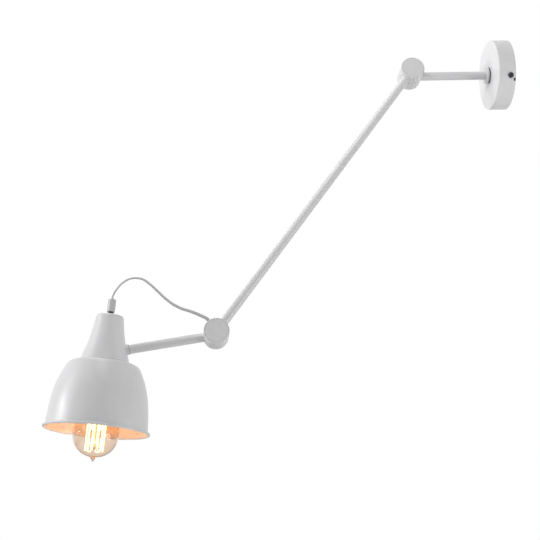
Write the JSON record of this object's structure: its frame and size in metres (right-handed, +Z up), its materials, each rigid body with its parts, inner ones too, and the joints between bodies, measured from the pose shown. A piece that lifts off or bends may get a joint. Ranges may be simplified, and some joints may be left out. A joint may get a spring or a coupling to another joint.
{
  "type": "adjustable wall lamp",
  "caption": "Adjustable wall lamp: round canopy, short and long arm on friction knuckles, bell shade with socket cup on a short lamp arm, cord and Edison bulb.",
  "frame": {"origin": "centre of the wall bracket's back face, which is the centre of the canopy on the wall plane", "axes": "+Z up, +Y into the wall, -Y out into the room, +X to the right seen from behind the wall's room side"},
  "size_m": [0.1375, 0.6657, 0.5866],
  "materials": {
    "canopy_enamel": "satin",
    "arm_enamel": "satin",
    "knuckle_enamel": "satin",
    "shade_enamel": "satin",
    "grip_enamel": "satin",
    "zinc_steel": "satin",
    "plain_brass": "satin",
    "dark_steel": "satin",
    "dark_nylon": "matte",
    "white_plastic": "satin",
    "cord_jacket": "satin",
    "sleeve_plastic": "satin",
    "amber_glass": "clear",
    "clear_glass": "clear",
    "black_glass": "gloss",
    "glowing_strand": "glowing"
  },
  "bodies": {
    "wall_plate": {"wall_bracket": "zinc_steel", "canopy": "canopy_enamel", "side_screws": "dark_steel", "earth_screw": "plain_brass", "terminal_block": "white_plastic", "terminal_clamps": "plain_brass", "root_friction_washer": "dark_nylon"},
    "wall_arm": {"root_fitting": "arm_enamel", "root_flat_washer": "zinc_steel", "root_spring_washer": "zinc_steel", "root_nut": "plain_brass", "wall_arm_tube": "arm_enamel", "shoulder_rear_half": "knuckle_enamel", "shoulder_rear_cap": "knuckle_enamel"},
    "long_arm": {"shoulder_front_half": "knuckle_enamel", "shoulder_front_cap": "knuckle_enamel", "shoulder_seam_washer": "dark_nylon", "shoulder_pivot": "plain_brass", "shoulder_flat_washer": "zinc_steel", "shoulder_spring_washer": "zinc_steel", "shoulder_nut": "plain_brass", "long_arm_tube": "arm_enamel", "elbow_front_half": "knuckle_enamel", "elbow_front_cap": "knuckle_enamel", "elbow_seam_washer": "dark_nylon", "elbow_pivot": "plain_brass", "elbow_flat_washer": "zinc_steel", "elbow_spring_washer": "zinc_steel", "elbow_nut": "plain_brass"},
    "lamp_arm": {"elbow_rear_half": "knuckle_enamel", "elbow_rear_cap": "knuckle_enamel", "lamp_arm_tube": "arm_enamel", "arm_end_plug": "plain_brass", "neck_screw": "zinc_steel", "cord_sleeve": "sleeve_plastic", "lamp_cord": "cord_jacket"},
    "shade": {"neck_washer": "dark_nylon", "neck_collar": "arm_enamel", "saddle_washer": "zinc_steel", "socket_cup": "shade_enamel", "entry_tube": "dark_steel", "entry_nut": "plain_brass", "cord_grip": "grip_enamel", "bell_shade": "shade_enamel", "lampholder_body": "white_plastic", "lampholder_cap": "white_plastic", "lampholder_shell": "plain_brass", "lampholder_contact": "plain_brass", "shade_ring": "white_plastic", "bulb_glass": "amber_glass", "bulb_screw_cap": "plain_brass", "bulb_insulator": "black_glass", "bulb_contact": "zinc_steel", "bulb_stem": "clear_glass", "bulb_filament": "glowing_strand", "filament_hooks": "zinc_steel"}
  },
  "joints": [
    {"name": "wall_swivel", "type": "hinge", "parent": "wall_plate", "child": "wall_arm", "pos_m": [0, 0, 0], "axis": [0, -1, 0], "range_deg": [-160, 160]},
    {"name": "shoulder_tilt", "type": "hinge", "parent": "wall_arm", "child": "long_arm", "pos_m": [0, -0.143, 0], "axis": [1, 0, 0], "range_deg": [-132, 48]},
    {"name": "elbow_tilt", "type": "hinge", "parent": "long_arm", "child": "lamp_arm", "pos_m": [0, -0.43979, -0.37852], "axis": [1, 0, 0], "range_deg": [-70.5, 159.5]},
    {"name": "shade_turn", "type": "hinge", "parent": "lamp_arm", "child": "shade", "pos_m": [0, -0.55483, -0.39346], "axis": [0, -0.9917, -0.1288], "range_deg": [-75, 75], "deforming": ["lamp_cord"]}
  ]
}
